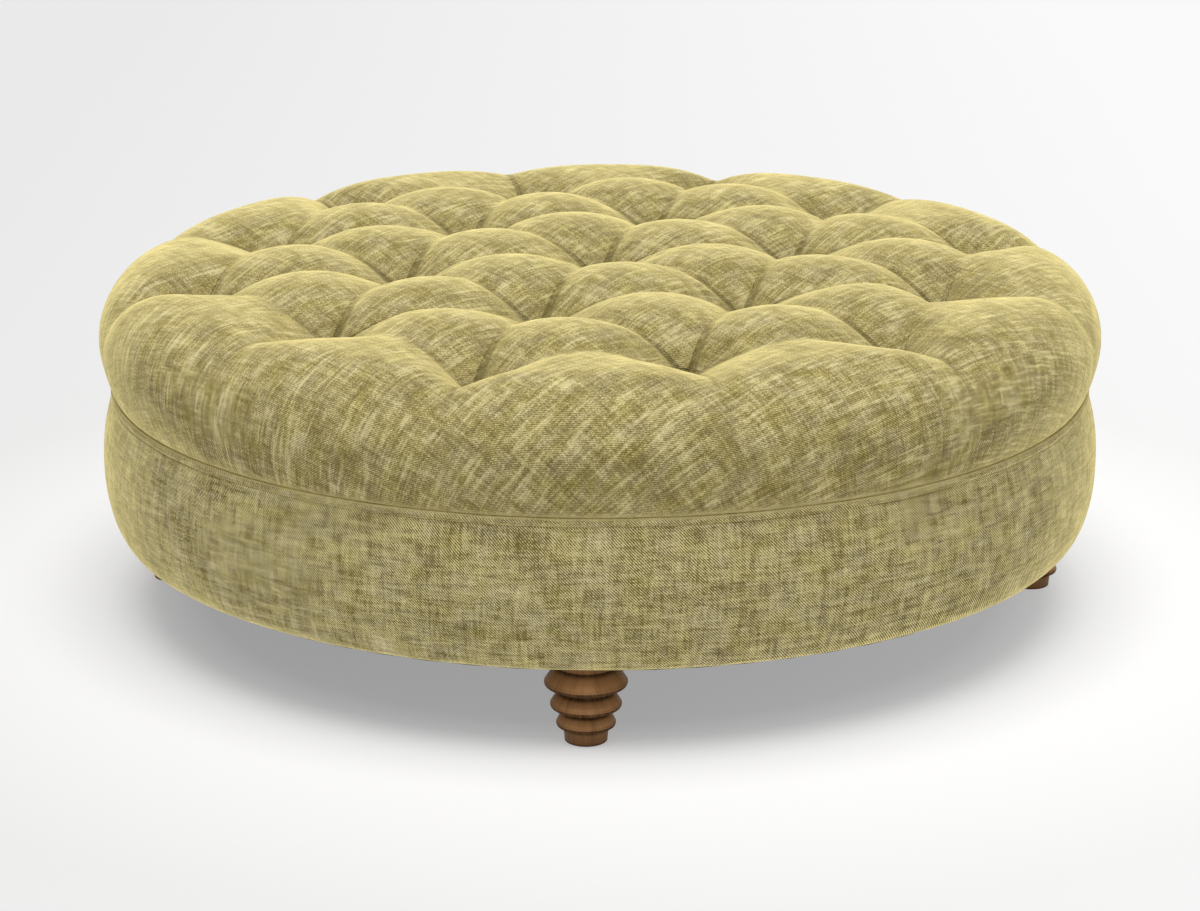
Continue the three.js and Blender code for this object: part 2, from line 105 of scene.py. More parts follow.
class CushionSettings(bpy.types.PropertyGroup):
    """Sizes of the tufted cushion."""

    radius: size_property(
        "Radius", "Widest radius of the cushion", (BAND_HIGH.x - BAND_LOW.x) / 2
    )
    crest: size_property("Crest", "Height of the middle puffs", 0.4286)
    waist: size_property("Waist", "Height where the cushion meets the piping", 0.2692)
    crown_drop: size_property("Crown drop", "Fall from the middle to the edge", 0.014)
    edge_width: size_property("Edge width", "Width of the rounded edge", 0.09)
    edge_height: size_property("Edge height", "Height of the rounded edge", 0.086)
    waist_inset: size_property("Waist inset", "How far the waist is drawn in", 0.016)
    waist_tuck: size_property("Waist tuck", "Height of the turn above the piping", 0.0434)
    pitch: size_property("Tuft spacing", "Distance from tuft to tuft", 0.24)
    depth: size_property("Tuft depth", "Depth of a tuft below the puffs", 0.052)
    crease: share_property("Crease", "Depth of a crease midway between tufts", 0.25)
    fade: FloatProperty(name="Fade", description="How soon the outer creases die out", default=2.2)
    fullness: FloatProperty(name="Fullness", description="How full the puffs grow", default=3)
    steps: IntProperty(name="Steps", description="Mesh steps from tuft to tuft", default=20, min=4)
    edge_rings: IntProperty(name="Rings", description="Mesh rings over the edge", default=20, min=6)
    hem_radius: size_property("Hem radius", "Radius of the hem round the board", 0.5683)
    hem_drop: size_property("Hem drop", "Height of the hem", 0.028)
    hem_rings: IntProperty(name="Hem rings", description="Mesh rings down the hem", default=6)
    pinch: size_property("Pinch", "Depth of the narrow creases", 0.005)
    pressure: FloatProperty(name="Pressure", description="Air that fills the cushion", default=4)
    swell: size_property("Swell", "Most that the filling moves the cloth", 0.006)
    cloth: size_property("Cloth", "Thickness of the cover", 0.0016)
    bias: angle_property("Bias", "Turn of the cloth's threads", -90)


class BandSettings(bpy.types.PropertyGroup):
    """Sizes of the upholstered band."""

    radius: size_property(
        "Radius", "Widest radius of the band", (BAND_HIGH.x - BAND_LOW.x) / 2
    )
    corner_width: size_property("Corner width", "Width of the rounded lower corner", 0.028)
    widest: size_property("Widest", "Height of the widest line", BAND_LOW.z + 0.086)
    top_inset: size_property("Top inset", "How far the band is drawn in at the piping", 0.012)
    top_round: size_property("Top round", "Rounding under the piping", 0.0035)
    lip: size_property("Lip", "How far the cloth rises against the piping", 0.0022)
    columns: IntProperty(name="Columns", description="Mesh columns round the band", default=288)
    cloth: size_property("Cloth", "Thickness of the cover", 0.002)
    ripple: size_property("Ripple", "Unevenness of the padded band", 0.0012)


class PipingSettings(bpy.types.PropertyGroup):
    """Sizes of the piping."""

    cord: size_property("Cord radius", "Radius of the covered cord", 0.005)
    radius: size_property(
        "Radius", "Radius of the piping's middle line", (WELT_HIGH.x - WELT_LOW.x) / 2 - 0.005
    )
    sides: IntProperty(name="Sides", description="Sides of the cord", default=12)
    columns: IntProperty(name="Columns", description="Mesh columns round the piping", default=576)


class FootSettings(bpy.types.PropertyGroup):
    """Sizes of a turned foot."""

    base_radius: size_property("Base radius", "Radius of the plain base", 0.0233)
    base_flare: size_property("Base flare", "How much the base widens upwards", 0.0012)
    base_height: size_property("Base height", "Height of the plain base", 0.015)
    plate_radius: size_property("Plate radius", "Radius of the plate under the band", 0.033)
    plate_height: size_property("Plate height", "Height of the plate", 0.009)
    rim_round: size_property("Rim round", "Rounding of a bead's rim", 0.0022)
    rim_depth: size_property("Rim depth", "Height of a bead's rim under its widest line", 0.0036)
    sides: IntProperty(name="Sides", description="Sides of a turned foot", default=96)


class UndersideSettings(bpy.types.PropertyGroup):
    """Sizes of the dust cloth and its staples."""

    staples: IntProperty(name="Staples", description="Staples round the dust cloth", default=72)
    staple_inset: size_property("Staple inset", "Distance of the staples from the edge", 0.012)
    sag: size_property("Sag", "How far the cloth hangs down", 0.0016)
    hole: size_property("Hole", "Radius of the hole round a foot", 0.0333)
    columns: IntProperty(name="Columns", description="Mesh columns round the cloth", default=288)
    crown: size_property("Crown", "Length of a staple", 0.0095)
    wire: size_property("Wire", "Thickness of a staple", 0.0008)


class ClothSettings(bpy.types.PropertyGroup):
    """Colours and sizes of the velvet."""

    # Deep is also the colour of the painted shade in pits and along crease lines.
    deep: colour_property("Deep", "Colour in the hollows of the pile", (0.17, 0.135, 0.045))
    middle: colour_property("Middle", "Main colour", (0.362, 0.296, 0.107))
    # Pale is also the colour of the painted light on the piping's upper side and on the cushion's
    # lowest ring and hem.
    pale: colour_property("Pale", "Colour of the rubbed patches", (0.74, 0.65, 0.33))
    # Sheen tints the shader's own sheen, and is also the colour of the painted sheen that the base
    # colour takes on where the surface turns from the view.
    sheen: colour_property("Sheen", "Colour of the pile seen along it", (0.9, 0.765, 0.325))
    twill: size_property("Twill", "Distance between the diagonal ribs", 0.0023)
    blotch: size_property("Blotch", "Size of the pale and dark patches", 0.055)
    slub: size_property("Slub", "Length of a slub in the yarn", 0.034)
    thread: size_property("Thread", "Width of a thread", 0.0024)
    yarn: size_property("Yarn", "Size of a knot in the yarn", 0.0015)
    line: size_property("Line", "Half the width of a crease line", 0.0045)
    worn: share_property("Worn", "How pale the most rubbed streaks are", 0.42)
    # Share of painted sheen in the base colour where the surface turns away from the view.
    painted_sheen: share_property("Brushed", "Share of sheen colour where the pile lies level", 0.72)


class StageSettings(bpy.types.PropertyGroup):
    """Camera, floor and light."""

    lens: FloatProperty(name="Lens", description="Focal length in millimetres", default=100)
    distance: size_property("Distance", "Level distance from the middle to the camera", 3.9035)
    height: size_property("Height", "Height of the camera", 1.353)
    azimuth: angle_property("Azimuth", "Turn of the camera", 46.635)
    pitch: angle_property("Pitch", "Downward tilt of the camera", 16.977)
    floor: colour_property("Floor", "Colour of the floor", (0.47, 0.47, 0.47))
    glow: FloatProperty(name="Glow", description="Light of the floor itself", default=0.33)
    halo: FloatProperty(name="Halo", description="More light round the feet", default=0.1)
    key_power: FloatProperty(name="Key", description="Power of the overhead light", default=2.8)
    key_spread: angle_property("Key spread", "Width of the overhead light from below", 46)
    world: FloatProperty(name="Surround", description="Strength of the pale surround", default=0.3)


# Shader helpers


def add_node(tree, kind, inputs=None, **settings):
    """A new node, with its settings and with numbers or links on its inputs."""
    made = tree.nodes.new(kind)
    for key, value in settings.items():
        setattr(made, key, value)
    for key, value in (inputs or {}).items():
        if isinstance(value, bpy.types.NodeSocket):
            tree.links.new(value, made.inputs[key])
        else:
            made.inputs[key].default_value = value
    return made


def new_material(name, roughness, metallic=0.0):
    """A material with its shader set up, and its node tree."""
    material = bpy.data.materials.new(name)
    material.use_nodes = True
    shader = material.node_tree.nodes["Principled BSDF"]
    shader.inputs["Roughness"].default_value = roughness
    shader.inputs["Metallic"].default_value = metallic
    return material, material.node_tree, shader


def scaled(tree, vector, scale, turn=0.0):
    """A vector stretched by a scale and turned about its third axis."""
    mapping = add_node(tree, "ShaderNodeMapping", {"Vector": vector, "Scale": scale})
    mapping.inputs["Rotation"].default_value = (0, 0, turn)
    return mapping.outputs["Vector"]


def grain(tree, vector, scale, detail=2.0, roughness=0.5, distortion=0.0):
    """Noise between 0 and 1 along a stretched vector."""
    made = add_node(
        tree, "ShaderNodeTexNoise",
        {"Vector": scaled(tree, vector, scale), "Scale": 1.0, "Detail": detail,
         "Roughness": roughness, "Distortion": distortion},
    )
    return made.outputs["Fac"]


def combine(tree, operation, first, second):
    """One sum, product or other operation on two numbers."""
    return add_node(
        tree, "ShaderNodeMath", {0: first, 1: second}, operation=operation
    ).outputs[0]


def spread(tree, value, low, high, new_low=0.0, new_high=1.0):
    """A number moved from one range to another, and held within it."""
    return add_node(
        tree, "ShaderNodeMapRange",
        {"Value": value, "From Min": low, "From Max": high, "To Min": new_low, "To Max": new_high},
    ).outputs["Result"]


def blend_colours(tree, share, first, second):
    """Two colours mixed by a share."""
    inputs = {MIX_SHARE: share}
    for index, colour in ((MIX_FIRST, first), (MIX_SECOND, second)):
        linked = isinstance(colour, bpy.types.NodeSocket)
        inputs[index] = colour if linked else (*colour, 1.0)
    return add_node(tree, "ShaderNodeMix", inputs, data_type="RGBA").outputs[MIX_RESULT]


def colour_steps(tree, value, steps):
    """A colour ramp: places between 0 and 1 with their colours."""
    ramp = add_node(tree, "ShaderNodeValToRGB", {"Fac": value})
    stops = ramp.color_ramp.elements
    while len(stops) < len(steps):
        stops.new(1.0)
    for stop, (place, colour) in zip(stops, steps):
        stop.position = place
        stop.color = (*colour, 1.0)
    return ramp.outputs["Color"]


def two_tones(tree, value, dark, light, low=0.3, high=0.7):
    """A colour from dark to light, as a number goes from low to high."""
    return colour_steps(tree, spread(tree, value, low, high), ((0.0, dark), (1.0, light)))


def bumped(tree, height, distance, strength, over=None):
    """A normal bumped by a height between 0 and 1 over a real distance."""
    inputs = {"Height": height, "Distance": distance, "Strength": strength}
    if over:
        inputs["Normal"] = over
    return add_node(tree, "ShaderNodeBump", inputs).outputs["Normal"]


def dress_shader(tree, shader, colour, roughness, normal):
    """Links a colour, a roughness and a bumped normal to a shader."""
    for key, value in (("Base Color", colour), ("Roughness", roughness), ("Normal", normal)):
        tree.links.new(value, shader.inputs[key])


def piece_map(tree, name):
    """One of the piece's own maps."""
    return add_node(tree, "ShaderNodeUVMap", uv_map=name).outputs["UV"]


def piece_place(tree):
    """Places on the piece, in metres."""
    return add_node(tree, "ShaderNodeTexCoord").outputs["Object"]


def mark(tree, name):
    """A number that the piece's mesh carries at its points."""
    return add_node(tree, "ShaderNodeAttribute", attribute_name=name).outputs["Fac"]


def weighted(tree, parts):
    """The sum of numbers, each with its weight."""
    total = combine(tree, "MULTIPLY", *parts[0])
    for value, weight in parts[1:]:
        total = add_node(
            tree, "ShaderNodeMath", {0: value, 1: weight, 2: total}, operation="MULTIPLY_ADD"
        ).outputs[0]
    return total


# Finishes


def velvet(name, settings, ribs=0.25, knotty=0.42, coarse=1.3, calm=0.09, turn=0.0, wear=0.0):
    """Slubbed velvet over a twill ground, with rubbed pale patches, and with painted light and
    shade: painted sheen where the surface turns from the view, pale paint where points are marked
    as lit, and painted shade in pits and along crease lines.

    Ribs and knotty weigh the twill and the knots, coarse widens the threads, calm evens the
    tones, turn sets the direction of the threads, and wear shows the most rubbed streaks.
    """
    material, tree, shader = new_material(name, 0.85)
    place = scaled(tree, piece_map(tree, "cloth"), (1, 1, 1), turn)
    patch, slub = 1 / settings.blotch, 1 / settings.slub
    thread, yarn = 1 / (settings.thread * coarse), 1 / (settings.yarn * coarse)
    blotches = grain(tree, place, (patch, patch, 1), 2.0, 0.6)
    warp = grain(tree, place, (slub * 0.8, slub * 5, 1), 1.0, 0.6)
    weft = grain(tree, place, (slub * 4, slub, 1), 1.0, 0.6)
    warp_thread = grain(tree, place, (slub * 1.3, thread, 1), 1.0, 0.6)
    weft_thread = grain(tree, place, (thread, slub * 1.3, 1), 1.0, 0.6)
    knots = grain(tree, place, (yarn, yarn, 1), 1.0, 0.8)
    wave = add_node(
        tree, "ShaderNodeTexWave",
        {"Vector": place, "Scale": TWILL_WAVE / settings.twill, "Distortion": 2.0, "Detail": 0.0,
         "Detail Scale": 0.4},
        wave_type="BANDS", bands_direction="DIAGONAL", wave_profile="SIN",
    ).outputs["Fac"]
    parts = (
        (blotches, 0.2), (warp, 0.24), (weft, 0.22), (warp_thread, 0.23), (weft_thread, 0.21),
        (knots, knotty), (wave, ribs),
    )
    middle = sum(weight for _, weight in parts) / 2
    tone = spread(tree, weighted(tree, parts), middle - calm, middle + calm)
    steps = ((0.0, settings.deep), (0.5, settings.middle), (1.0, settings.pale))
    pile = colour_steps(tree, tone, steps)
    greying = grain(tree, place, (patch * 1.4, patch * 2.2, 1), 2.0, 0.6)
    pile = add_node(tree, "ShaderNodeHueSaturation", {
        "Hue": spread(tree, greying, 0.35, 0.65, 0.502, 0.497),
        "Saturation": spread(tree, greying, 0.35, 0.65, 1.06, 0.92), "Color": pile,
    }).outputs["Color"]
    # Painted light: points marked as lit, the piping's upper side and the cushion's lowest ring and
    # hem, are painted pale against the shade between them.
    painted_light_share = combine(tree, "POWER", mark(tree, "painted_light"), 3.0)
    pile = blend_colours(tree, painted_light_share, pile, settings.pale)
    streaks = weighted(tree, ((warp, 0.55), (warp_thread, 0.3), (blotches, 0.4)))
    worn = spread(tree, streaks, 0.67, 0.8, 0.0, wear)
    pile = blend_colours(tree, worn, pile, settings.pale)
    # A thin line along each crease, painted dark as shade and bumped in as a groove.
    crease = spread(tree, mark(tree, "crease_gap"), 0.0, settings.line, 1.0, 0.0)
    line = combine(tree, "MULTIPLY", crease, mark(tree, "crease_force"))
    # Painted sheen: the base colour turns towards the sheen colour as the surface turns from the
    # view, with a painted highlight along the outlines.
    facing = add_node(tree, "ShaderNodeLayerWeight", {"Blend": 0.5}).outputs["Facing"]
    level = spread(tree, facing, 0.52, 1.0, 0.0, settings.painted_sheen)
    rim = combine(tree, "POWER", facing, 8.0)
    painted_sheen_colour = colour_steps(tree, tone, (
        (0.0, [part * 0.62 for part in settings.sheen]),
        (1.0, [part * 1.3 for part in settings.sheen]),
    ))
    pile = blend_colours(tree, combine(tree, "ADD", level, rim), pile, painted_sheen_colour)
    # Painted shade: pits and crease lines are darkened towards the deep colour.
    shade = combine(tree, "MAXIMUM", combine(tree, "MULTIPLY", mark(tree, "fold_shade"), 0.62),
                    combine(tree, "MULTIPLY", line, 0.75))
    groove = bumped(tree, combine(tree, "SUBTRACT", 1.0, line), settings.line * 1.5, 1.0)
    relief = weighted(tree, ((wave, 0.4), (knots, 1.0)))
    dress_shader(
        tree, shader, blend_colours(tree, shade, pile, settings.deep),
        spread(tree, knots, 0.2, 0.8, 0.92, 0.74), bumped(tree, relief, 0.0007, 0.7, groove),
    )
    shader.inputs["Sheen Weight"].default_value = 0.25
    shader.inputs["Sheen Roughness"].default_value = 0.3
    shader.inputs["Sheen Tint"].default_value = (*settings.sheen, 1.0)
    shader.inputs["Specular IOR Level"].default_value = 0.15
    return material


def turned_wood():
    """Brown stained wood with a satin lacquer, its grain running up the foot."""
    material, tree, shader = new_material("turned_wood", 0.42)
    parts = add_node(tree, "ShaderNodeSeparateXYZ", {"Vector": piece_map(tree, "turning")})
    angle = combine(tree, "MULTIPLY", parts.outputs["X"], TURN)
    around = add_node(tree, "ShaderNodeCombineXYZ", {
        "X": combine(tree, "COSINE", angle, 0), "Y": combine(tree, "SINE", angle, 0),
        "Z": parts.outputs["Y"],
    }).outputs["Vector"]
    fibres = grain(tree, around, (44, 44, 9), 3.0, 0.65)
    rings = grain(tree, around, (5, 5, 14), 2.0, 0.5, 0.4)
    pores = grain(tree, around, (60, 60, 40), 2.0, 0.6)
    tone = weighted(tree, ((fibres, 0.55), (rings, 0.45)))
    wood = colour_steps(tree, spread(tree, tone, 0.3, 0.72), (
        (0.0, (0.262, 0.124, 0.043)), (0.45, (0.43, 0.208, 0.074)), (1.0, (0.525, 0.275, 0.108)),
    ))
    # The groove mark carries painted shade: under the rims, in the necks and at the base the wood
    # is darkened towards near black and loses its gloss.
    groove_shade = mark(tree, "groove")
    specks = spread(tree, pores, 0.5, 0.62, 0.0, 0.35)
    dark = combine(tree, "MULTIPLY", groove_shade, combine(tree, "SUBTRACT", 1.0, specks))
    dress_shader(
        tree, shader, blend_colours(tree, dark, wood, (0.022, 0.012, 0.007)),
        spread(tree, pores, 0.3, 0.7, 0.36, 0.52),
        bumped(tree, combine(tree, "ADD", fibres, pores), 0.0003, 0.5),
    )
    gloss = spread(tree, groove_shade, 0.1, 0.7, 0.35, 0.03)
    tree.links.new(gloss, shader.inputs["Specular IOR Level"])
    return material


def plain_cloth(name, dark, light, thread, roughness=0.95):
    """Cloth or fibre seen close: two tones in a fine even noise."""
    material, tree, shader = new_material(name, roughness)
    place = piece_place(tree)
    fine = grain(tree, place, (1 / thread,) * 3, 3.0, 0.6)
    broad = grain(tree, place, (0.04 / thread,) * 3, 2.0)
    tone = weighted(tree, ((fine, 0.7), (broad, 0.3)))
    dress_shader(
        tree, shader, two_tones(tree, tone, dark, light),
        spread(tree, fine, 0.3, 0.7, roughness, roughness - 0.1),
        bumped(tree, fine, thread / 2, 0.6),
    )
    return material


def board(name, dark, light, length, plies=0.0):
    """Bare wood with its grain along X, and plies across its thickness where it has them."""
    material, tree, shader = new_material(name, 0.7)
    place = piece_place(tree)
    streak = grain(tree, place, (1 / length, 14 / length, 14 / length), 4.0, 0.6, 0.5)
    pores = grain(tree, place, (8 / length, 120 / length, 120 / length), 2.0)
    tone = weighted(tree, ((streak, 0.75), (pores, 0.25)))
    colour = two_tones(tree, tone, dark, light)
    if plies:
        wave = add_node(
            tree, "ShaderNodeTexWave", {"Vector": place, "Scale": 1 / (WAVE_RATE * plies)},
            wave_type="BANDS", bands_direction="Z", wave_profile="TRI",
        ).outputs["Fac"]
        layers = spread(tree, wave, 0.42, 0.58)
        colour = blend_colours(tree, combine(tree, "MULTIPLY", layers, 0.25), colour, dark)
    dress_shader(
        tree, shader, colour, spread(tree, pores, 0.3, 0.7, 0.62, 0.78),
        bumped(tree, tone, 0.0006, 0.5),
    )
    return material


def zinc_steel():
    """Zinc-plated steel with faint cloudy marks."""
    material, tree, shader = new_material("zinc_steel", 0.38, 1.0)
    marks = grain(tree, piece_place(tree), (240, 240, 240), 4.0, 0.6)
    dress_shader(
        tree, shader, two_tones(tree, marks, (0.42, 0.43, 0.45), (0.66, 0.67, 0.69)),
        spread(tree, marks, 0.3, 0.7, 0.48, 0.3), bumped(tree, marks, 0.0002, 0.3),
    )
    return material


def nylon():
    """Dark moulded nylon with a fine texture and faint scuffs."""
    material, tree, shader = new_material("glide_nylon", 0.5)
    place = piece_place(tree)
    fine = grain(tree, place, (1400, 1400, 1400), 2.0)
    scuffs = grain(tree, place, (90, 300, 300), 3.0)
    dark, light = (0.012, 0.011, 0.01), (0.05, 0.046, 0.042)
    dress_shader(
        tree, shader, two_tones(tree, scuffs, dark, light, 0.35, 0.75),
        spread(tree, scuffs, 0.3, 0.7, 0.42, 0.62), bumped(tree, fine, 0.0001, 0.4),
    )
    return material


# Mesh helpers


def add_object(name, data):
    """An object in the scene, made from its data."""
    made = bpy.data.objects.new(name, data)
    bpy.context.scene.collection.objects.link(made)
    return made


def mesh_object(name, bm, material):
    """An object made from a mesh in progress, with its finish."""
    mesh = bpy.data.meshes.new(name)
    bm.to_mesh(mesh)
    bm.free()
    mesh.materials.append(material)
    return add_object(name, mesh)


def finish_piece(name, bm, material):
    """A smooth piece of the footstool, riding on the frame."""
    for face in bm.faces:
        face.smooth = True
    piece = mesh_object(name, bm, material)
    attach(piece, "root")
    return piece


def thicken(piece, thickness):
    """Gives cloth its thickness, inwards from its outer face."""
    wall = piece.modifiers.new("Thickness", "SOLIDIFY")
    wall.thickness = thickness
    wall.offset = -1


def angle_of(place):
    """The angle of a place round the Z axis."""
    return math.atan2(place.y, place.x)


def polar(radius, angle, height):
    """The place at a radius and an angle round the Z axis, and at a height."""
    return Vector((radius * math.cos(angle), radius * math.sin(angle), height))


def turn_points(bm, points, angle):
    """Turns points of a mesh about the Z axis."""
    turn = Matrix.Rotation(angle, 3, "Z")
    bmesh.ops.rotate(bm, verts=points, cent=(0, 0, 0), matrix=turn)


def box_middle(name):
    """The middle of a node's box."""
    low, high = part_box(name)
    return (low + high) / 2


def bezier(start, control, end, steps):
    """Points along a curve with one control point, without its start."""
    shares = [step / steps for step in range(1, steps + 1)]
    return [start.lerp(control, t).lerp(control.lerp(end, t), t) for t in shares]


def arc(centre, width, height, first, last, steps):
    """Points along part of an ellipse, without its start."""
    turns = [first + (last - first) * step / steps for step in range(1, steps + 1)]
    return [
        centre + Vector((width * math.cos(turn), height * math.sin(turn))) for turn in turns
    ]


class Path:
    """A line through points, read by the distance along it."""

    def __init__(self, points):
        self.points = points
        self.marks = [0.0]
        for before, after in zip(points, points[1:]):
            self.marks.append(self.marks[-1] + (after - before).length)
        self.length = self.marks[-1]

    def at(self, distance):
        """The point at a distance, and the direction there."""
        distance = min(max(distance, 0.0), self.length)
        last = len(self.points) - 2
        index = min(max(bisect.bisect_right(self.marks, distance) - 1, 0), last)
        before, after = self.points[index], self.points[index + 1]
        share = (distance - self.marks[index]) / (self.marks[index + 1] - self.marks[index])
        return before.lerp(after, share), (after - before).normalized()


def turned_mesh(outline, columns, closed=False):
    """Spins an outline of radii and heights round the Z axis."""
    bm = bmesh.new()
    verts = [bm.verts.new((point.x, 0, point.y)) for point in outline]
    pairs = list(zip(verts, verts[1:] + verts[:1] if closed else verts[1:]))
    edges = [bm.edges.new(pair) for pair in pairs]
    bmesh.ops.spin(
        bm, geom=verts + edges, cent=(0, 0, 0), axis=(0, 0, 1), angle=TURN, steps=columns,
        use_merge=True, use_duplicate=False,
    )
    bmesh.ops.remove_doubles(bm, verts=bm.verts, dist=1e-6)
    bmesh.ops.recalc_face_normals(bm, faces=bm.faces)
    return bm


def map_turned(bm, name, radius, height):
    """Maps a turned mesh by the distance round it and a height for each of its points."""
    layer = bm.loops.layers.uv.new(name)
    for face in bm.faces:
        angles = [angle_of(loop.vert.co) for loop in face.loops]
        wraps = max(angles) - min(angles) > math.pi
        for loop, angle in zip(face.loops, angles):
            if wraps and angle < 0:
                angle += TURN
            loop[layer].uv = (angle * radius, height(loop.vert))


def open_edges(bm):
    """The edges round the outside of a mesh."""
    return [edge for edge in bm.edges if edge.is_boundary]


def grow_ring(bm):
    """Adds a ring of faces round the outside of a mesh, and gives its new points."""
    made = bmesh.ops.extrude_edge_only(bm, edges=open_edges(bm))["geom"]
    return {item for item in made if isinstance(item, bmesh.types.BMVert)}


# Cushion


def crest_path(cushion):
    """The cushion's outline through the crests of its puffs, from the middle to the piping."""
    edge = cushion.radius - cushion.edge_width
    widest = cushion.crest - cushion.crown_drop - cushion.edge_height
    middle = Vector((0, cushion.crest))
    rim = Vector((edge, cushion.crest - cushion.crown_drop))
    steps = 60
    points = [middle] + bezier(middle, Vector((edge / 2, cushion.crest)), rim, steps)
    centre = Vector((edge, widest))
    points += arc(centre, cushion.edge_width, cushion.edge_height, math.pi / 2, 0, steps)
    points += bezier(
        Vector((cushion.radius, widest)),
        Vector((cushion.radius, cushion.waist + cushion.waist_tuck)),
        Vector((cushion.radius - cushion.waist_inset, cushion.waist)),
        steps // 2,
    )
    return Path(points)


def hem_path(cushion):
    """The cover's way in over the cord and down round the board."""
    start = Vector((cushion.radius - cushion.waist_inset, cushion.waist))
    turn = Vector((cushion.hem_radius, cushion.waist))
    low = Vector((cushion.hem_radius, cushion.waist - cushion.hem_drop))
    return Path([start] + bezier(start, turn, low, 12))


def tuft_points(cushion):
    """Places of the tufts on the flat cloth: the middle one and two rings of them."""
    points = []
    for row in range(-2, 3):
        count = 5 - abs(row)
        for column in range(count):
            across = (column - (count - 1) / 2) * cushion.pitch
            points.append(Vector((across, row * cushion.pitch * ROW_SHARE)))
    return points


def lattice_shares(x, y, pitch):
    """Shares of the three nearest tufts at a place on the cloth."""
    second = y / (pitch * ROW_SHARE)
    first = x / pitch - second / 2
    a, b = first - math.floor(first), second - math.floor(second)
    return (1 - a - b, a, b) if a + b <= 1 else (a + b - 1, 1 - b, 1 - a)


def sink(cushion, shares):
    """Depth of the cloth between three tufts: a steep pit, a crease, a round puff."""
    return cushion.depth * (3 * sum(share * share for share in shares) - 1) / 2


def lattice_mesh(cushion):
    """The field of tufts laid flat: a six-sided sheet of triangles."""
    bm = bmesh.new()
    field = 2 * cushion.pitch
    bmesh.ops.create_circle(bm, cap_ends=True, cap_tris=True, segments=SIX, radius=field)
    turn_points(bm, bm.verts, TURN / 4)
    bmesh.ops.subdivide_edges(
        bm, edges=bm.edges[:], cuts=2 * cushion.steps - 1, use_grid_fill=True
    )
    return bm


def mark_field(bm, cushion, marks):
    """Notes on the field of tufts how deep the cloth lies, and how near and sharp a crease is."""
    # Brings the pinch between two tufts to 1 at its strongest
    peak = 27 / 4
    rim_part = 0.5
    for vert in bm.verts:
        shares = lattice_shares(vert.co.x, vert.co.y, cushion.pitch)
        away = min(1.0, 2 * (1 - max(shares)))
        part = rim_part if vert.is_boundary else 1
        vert[marks["sink"]] = sink(cushion, shares)
        # Nearness to a crease and its strength set the painted shade line and the groove bump along
        # it.
        vert[marks["crease_gap"]] = max(0.0, min(shares)) * cushion.pitch * ROW_SHARE
        vert[marks["crease_force"]] = (1 - away) ** 0.9 * part
        if min(shares) < NEAR:
            vert[marks["pinch"]] = peak * away * (1 - away) ** 2 * part


def rim_starts(bm):
    """For each point on the rim: reach, angle, angle once spread, and place between folds."""
    starts = {}
    for vert in {vert for edge in open_edges(bm) for vert in edge.verts}:
        angle = angle_of(vert.co)
        sector = math.floor(angle / (TURN / SIX) + 1e-6)
        turn = angle - sector * TURN / SIX
        along = math.sin(turn) / (math.sin(turn) + math.sin(TURN / SIX - turn))
        between = (along * 2) % 1.0
        starts[vert] = (vert.co.xy.length, angle, (sector + along) * TURN / SIX, between)
    return starts


def add_edge(bm, cushion, marks, length):
    """Adds rings from the field to the piping, with folds that die out on their way down."""
    # Share of the way at which the shallow crease round the field has died out
    shallow_end = 0.36
    starts = rim_starts(bm)
    for ring in range(1, cushion.edge_rings + 1):
        share = ring / cushion.edge_rings
        fresh = grow_ring(bm)
        moved = {}
        for vert in fresh:
            source = next(
                edge.other_vert(vert) for edge in vert.link_edges
                if edge.other_vert(vert) not in fresh
            )
            moved[vert] = starts[source]
            reach, angle, rim_angle, between = starts[source]
            new_reach = reach + (length - reach) * share
            vert.co = polar(new_reach, angle + (rim_angle - angle) * share, 0)
            shallow = cushion.crease * max(0.0, 1 - share / shallow_end) ** 2
            crease = (1 - cushion.crease) * (1 - share) ** cushion.fade
            ridge = abs(2 * between - 1) ** (2 + cushion.fullness * share)
            beside = min(between, 1 - between)
            vert[marks["sink"]] = cushion.depth * (shallow + crease * ridge)
            vert[marks["pinch"]] = 0.9 * (1 - share) if beside < NEAR else 0
            round_part = min(new_reach, cushion.radius) * TURN / (2 * SIX)
            vert[marks["crease_gap"]] = beside * round_part
            vert[marks["crease_force"]] = 0.75 * (1 - share) ** 2 + 0.08
            # The lowest ring is painted pale as painted light, against the shade where it meets the
            # piping.
            vert[marks["painted_light"]] = 1 if ring == cushion.edge_rings else 0
        starts = moved


def add_hem(bm, cushion, marks, start, length):
    """Adds the rings of the hem, from the piping inwards."""
    for ring in range(1, cushion.hem_rings + 1):
        reach = start + length * ring / cushion.hem_rings
        before = start + length * (ring - 1) / cushion.hem_rings
        for vert in grow_ring(bm):
            vert.co *= reach / before
            # The hem is painted pale as painted light too.
            vert[marks["painted_light"]] = 1


def wrap_cloth(cushion):
    """Wraps the flat cloth over the filling and draws it down at the tufts."""
    bm = lattice_mesh(cushion)
    names = ("sink", "pinch", "crease_gap", "crease_force", "painted_light")
    marks = {name: bm.verts.layers.float.new(name) for name in names}
    path, hem = crest_path(cushion), hem_path(cushion)
    mark_field(bm, cushion, marks)
    add_edge(bm, cushion, marks, path.length)
    add_hem(bm, cushion, marks, path.length, hem.length)
    cloth = bm.loops.layers.uv.new("cloth")
    for face in bm.faces:
        for loop in face.loops:
            loop[cloth].uv = loop.vert.co.xy
    for vert in bm.verts:
        reach, depth = vert.co.xy.length, vert[marks["sink"]]
        point, along = path.at(reach) if reach <= path.length else hem.at(reach - path.length)
        height = point.y - along.x * depth
        vert.co = polar(point.x + along.y * depth, angle_of(vert.co), height)
    bmesh.ops.recalc_face_normals(bm, faces=bm.faces)
    return bm


